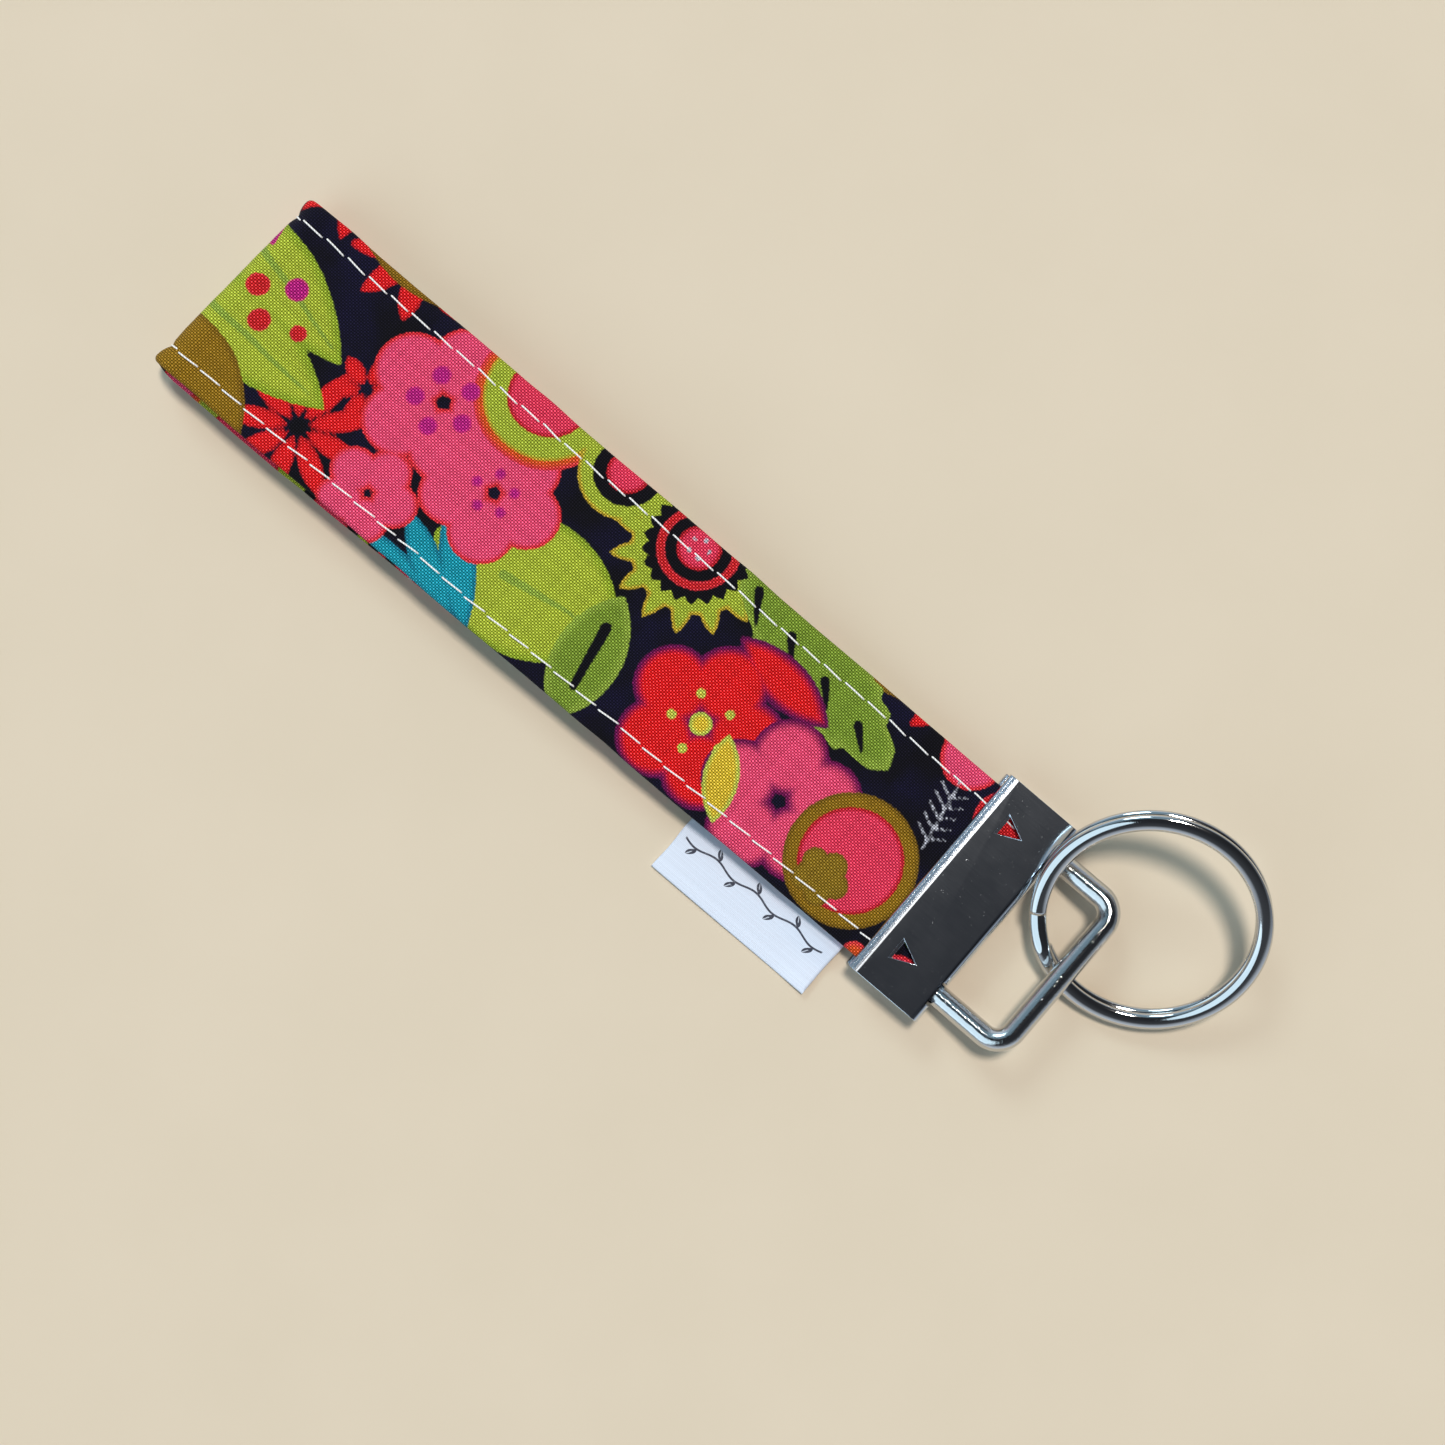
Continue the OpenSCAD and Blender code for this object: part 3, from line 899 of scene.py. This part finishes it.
def label_motif(n, along, out):
    """A generic sprig drawn in dark ink: a waving stem with a leaf to each side in turn."""
    step, middle, wave, lean = 3.3, 2.5, 0.35, 0.6
    leaf_half, leaf_at = 0.72, 1.05
    cell = n.math("DIVIDE", n.math("SUBTRACT", along, 1.5), step)
    x = n.math("MULTIPLY", n.math("SUBTRACT", n.math("FRACT", cell), 0.5), step)
    flip = n.math("MULTIPLY_ADD", n.math("FLOOR", n.math("MODULO", cell, 2.0)), -2.0, 1.0)
    y = n.math("SUBTRACT", out, middle)
    swing = n.math("SINE", n.math("MULTIPLY", cell, math.pi))
    stem_y = n.math("SUBTRACT", y, n.math("MULTIPLY", swing, wave))
    stem = n.ramp(n.math("ABSOLUTE", stem_y), 0.18, 0.10)
    leaf_y = n.math("SUBTRACT", n.math("MULTIPLY", y, flip), leaf_at)
    leaf_x = n.math("SUBTRACT", x, n.math("MULTIPLY", leaf_y, lean))
    bulge = n.math("SUBTRACT", leaf_half ** 2, n.math("MULTIPLY", leaf_y, leaf_y))
    leaf_edge = n.math("SUBTRACT", n.math("ABSOLUTE", leaf_x), n.math("MULTIPLY", bulge, 0.85))
    leaf_end = n.ramp(n.math("ABSOLUTE", leaf_y), 0.75, 0.70)
    leaf_ink = n.math("MULTIPLY", n.ramp(leaf_edge, 0.04, -0.04), leaf_end)
    vein = n.math("MULTIPLY", n.ramp(n.math("ABSOLUTE", leaf_x), 0.10, 0.04), n.ramp(leaf_y, -0.2, 0.0))
    drawn = n.math("MAXIMUM", stem, n.math("SUBTRACT", leaf_ink, n.math("MULTIPLY", vein, 0.8)))
    ends = n.math("MULTIPLY", n.ramp(along, 1.4, 1.6), n.ramp(along, 24.7, 24.5))
    return n.math("MULTIPLY", drawn, ends)


def woven_label():
    n = Nodes("woven_label")
    along, out = n.attribute("along"), n.attribute("out")
    place = n.combine(along, out)
    height, _, _, weft = n.weave(along, out, 0.2)
    worn = n.ramp(n.noise(place, 3.0, 3), 0.2, 0.5, 0.75, 1.0)
    ink = n.math("MULTIPLY", label_motif(n, along, out), worn)
    tone = n.math("MULTIPLY_ADD", n.cell_noise(n.combine(weft, 2.0)), 0.06, 0.94)
    shade = n.math("MULTIPLY", n.ramp(height, 0.5, 0.95, 0.86, 1.0), tone)
    cloth = n.mix(1.0, rgb(212, 220, 236), n.combine(shade, shade, shade), "MULTIPLY")
    n.put(n.shader.inputs["Base Color"], n.mix(ink, cloth, rgb(40, 42, 58)))
    n.shader.inputs["Roughness"].default_value = 0.7
    n.shader.inputs["Sheen Weight"].default_value = 0.15
    n.put(n.shader.inputs["Normal"], n.bump(height, 0.35, 0.05 * MM))
    return n.material


# ---------------------------------------------------------------- metal materials

def plated(name, colour, rough_low, rough_high):
    """Nickel plate: slightly uneven roughness and fine wipe marks.

    Gives its nodes, the place on the piece, the wipe marks and the roughness, to build a finish on.
    """
    n = Nodes(name)
    here = n.here()
    cloud = n.noise(here, 240, 3)
    wipes = n.add("ShaderNodeMapping")
    n.put(wipes.inputs["Vector"], here)
    wipes.inputs["Scale"].default_value = (300, 5200, 5200)
    fine = n.noise(wipes.outputs[0], 1.0, 2)
    n.shader.inputs["Metallic"].default_value = 1.0
    duller = tuple(0.94 * c for c in colour[:3]) + (1.0,)
    n.put(n.shader.inputs["Base Color"], n.mix(cloud, colour, duller))
    uneven = n.ramp(cloud, 0.3, 0.7, rough_low, rough_high)
    rough = n.math("ADD", uneven, n.math("MULTIPLY", fine, 0.02))
    n.put(n.shader.inputs["Roughness"], rough)
    return n, here, fine, rough


def polished_wire(name, peel):
    """Bright plate on round wire; peel is how strongly its surface ripples, like orange peel."""
    n, here, fine, _ = plated(name, (0.60, 0.61, 0.62, 1.0), 0.04, 0.08)
    wiped = n.bump(fine, 0.08, 0.015 * MM)
    n.put(n.shader.inputs["Normal"], n.bump(n.noise(here, 3400, 3, 0.65), peel, 0.03 * MM, wiped))
    return n.material


def clamp_plate():
    """Flat faces are satin with scattered specks; the sheared lip is grainy, and bright at its crease."""
    colour, lip_colour = (0.66, 0.71, 0.78, 1.0), (0.20, 0.25, 0.33, 1.0)
    n, here, fine, rough = plated("clamp_plate", colour, 0.09, 0.10)
    parts = n.add("ShaderNodeSeparateXYZ")
    n.put(parts.inputs[0], here)
    from_lip = n.math("SUBTRACT", n.math("DIVIDE", parts.outputs[0], MM), LIP_X)
    lip = n.ramp(from_lip, 1.08, 0.98)
    crease = n.math("MULTIPLY", n.ramp(from_lip, 1.00, 1.08), n.ramp(from_lip, 1.36, 1.24))
    grains = n.noise(here, 5600, 3, 0.7)
    specks = n.add("ShaderNodeTexVoronoi", feature="F1")
    n.put(specks.inputs["Vector"], here)
    specks.inputs["Scale"].default_value = 1800
    chosen = n.math("GREATER_THAN", n.cell_noise(specks.outputs["Position"]), 0.35)
    pit = n.math("MULTIPLY", n.ramp(specks.outputs["Distance"], 0.14, 0.05), chosen)
    dull = n.mix(n.math("MULTIPLY", lip, n.ramp(grains, 0.35, 0.62, 1.0, 0.0)), colour, lip_colour)
    n.put(n.shader.inputs["Base Color"], dull)
    worn = n.math("MULTIPLY_ADD", crease, 0.20, n.math("MULTIPLY_ADD", lip, 0.10, rough))
    worn = n.math("MULTIPLY_ADD", pit, 0.065, worn)
    n.put(n.shader.inputs["Roughness"], worn)
    flat_height = n.math("ADD", n.math("MULTIPLY", fine, 0.3), n.math("MULTIPLY", pit, 1.5))
    flat = n.bump(flat_height, 0.12, 0.03 * MM)
    rough_lip = n.math("MULTIPLY", grains, n.math("ADD", lip, n.math("MULTIPLY", crease, 0.5)))
    n.put(n.shader.inputs["Normal"], n.bump(rough_lip, 0.4, 0.05 * MM, flat))
    return n.material


# ---------------------------------------------------------------- the stage

CAMERA_HEIGHT = 0.300
VIEW_WIDTH = 0.188  # what the view takes in at the table
VIEW_CENTRE = (-0.03806, -0.00284)


def view_axes():
    """The view's right and up directions on the table."""
    right = Vector((math.cos(PHOTO_TURN), math.sin(PHOTO_TURN), 0))
    return right, Vector((-right.y, right.x, 0))


def make_camera():
    data = bpy.data.cameras.new("camera")
    camera = bpy.data.objects.new("camera", data)
    bpy.context.scene.collection.objects.link(camera)
    data.sensor_width = 36
    data.lens = 36 * CAMERA_HEIGHT / VIEW_WIDTH
    data.clip_start = 0.01
    right, up = view_axes()
    turn = Matrix((right, up, Vector((0, 0, 1)))).transposed().to_4x4()
    camera.matrix_world = Matrix.Translation((*VIEW_CENTRE, CAMERA_HEIGHT)) @ turn
    bpy.context.scene.camera = camera


def make_floor():
    size = 25.0
    corners = [(-size, -size, 0), (size, -size, 0), (size, size, 0), (-size, size, 0)]
    floor = new_object("floor", np.array(corners) / MM, [(0, 1, 2, 3)])
    n = Nodes("pale_floor")
    grain = n.noise(n.here(), 40, 4)
    n.put(n.shader.inputs["Base Color"], n.mix(grain, (0.57, 0.48, 0.365, 1), (0.61, 0.515, 0.40, 1)))
    n.shader.inputs["Roughness"].default_value = 0.75
    floor.data.materials.append(n.material)


def sun(name, towards, softness, power, colour):
    """Even light from one direction; softness is how wide the source looks, in degrees."""
    data = bpy.data.lights.new(name, "SUN")
    data.angle = math.radians(softness)
    data.energy = power
    data.color = colour
    light = bpy.data.objects.new(name, data)
    bpy.context.scene.collection.objects.link(light)
    light.rotation_euler = Vector(towards).to_track_quat("Z", "Y").to_euler()


def make_world():
    """A room: pale low down, dark overhead, and brighter on two opposite sides."""
    world = bpy.data.worlds.new("studio")
    world.use_nodes = True
    bpy.context.scene.world = world
    tree = world.node_tree
    coord = tree.nodes.new("ShaderNodeTexCoord")
    parts = tree.nodes.new("ShaderNodeSeparateXYZ")
    height = tree.nodes.new("ShaderNodeValToRGB")
    sides = tree.nodes.new("ShaderNodeMath")
    share = tree.nodes.new("ShaderNodeMapRange")
    tree.links.new(coord.outputs["Generated"], parts.inputs[0])
    tree.links.new(parts.outputs["Z"], height.inputs[0])
    sides.operation = "MULTIPLY"
    tree.links.new(parts.outputs["X"], sides.inputs[0])
    tree.links.new(parts.outputs["Y"], sides.inputs[1])
    tree.links.new(sides.outputs[0], share.inputs["Value"])
    share.interpolation_type = "SMOOTHSTEP"
    ranges = {"From Min": 0.45, "From Max": -0.45, "To Min": 0.35, "To Max": 1.0}
    for name, value in ranges.items():
        share.inputs[name].default_value = value
    stops = height.color_ramp.elements
    stops[0].position, stops[0].color = 0.0, (0.78, 0.84, 0.92, 1)
    stops[1].position, stops[1].color = 0.90, (0.040, 0.043, 0.050, 1)
    for position, colour in ((0.42, (0.40, 0.45, 0.51, 1)), (0.58, (0.070, 0.076, 0.086, 1))):
        stops.new(position).color = colour
    tree.links.new(height.outputs[0], tree.nodes["Background"].inputs["Color"])
    tree.links.new(share.outputs[0], tree.nodes["Background"].inputs["Strength"])


def make_stage():
    make_camera()
    make_floor()
    make_world()
    bpy.context.scene.view_settings.view_transform = "Standard"
    sun("key", (-0.10, 0.28, 0.95), 10, 2.60, (1.0, 0.94, 0.87))
    sun("window", (-0.29, -0.69, 0.66), 58, 1.10, (0.68, 0.88, 1.0))
    sun("side_window", (-0.67, 0.38, 0.64), 18, 0.8, (0.72, 0.92, 1.0))
    sun("side_panel", (-0.67, 0.34, 0.66), 62, 0.32, (0.50, 0.80, 1.0))


# ---------------------------------------------------------------- assembly

def settle(piece, body, nodes, material):
    piece.data.materials.append(material)
    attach(piece, body)
    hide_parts(*nodes)


def main():
    make_stage()
    cover = make_cover()
    settle(cover, "strap", ["strap_cover"], printed_cotton())
    settle(make_core(), "strap", ["strap_core"], interfacing())
    thread = sewing_thread()
    lines = {
        "topstitch_label_side": (-1, 1),
        "topstitch_plain_side": (1, 1),
        "bobbin_label_side": (-1, -1),
        "bobbin_plain_side": (1, -1),
    }
    for node, (side, face) in lines.items():
        settle(make_thread(node + "_thread", side, face), "strap", [node], thread)
    label = make_label()
    label.data.materials.append(woven_label())
    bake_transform(label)
    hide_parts("label_tab")
    settle(make_clamp(), "strap", ["clamp_shell"], clamp_plate())
    settle(make_wire_loop(), "loop", ["wire_loop"], polished_wire("wire_plate", 0.75))
    settle(make_split_ring(), "ring", ["split_ring"], polished_wire("ring_plate", 0.06))


main()
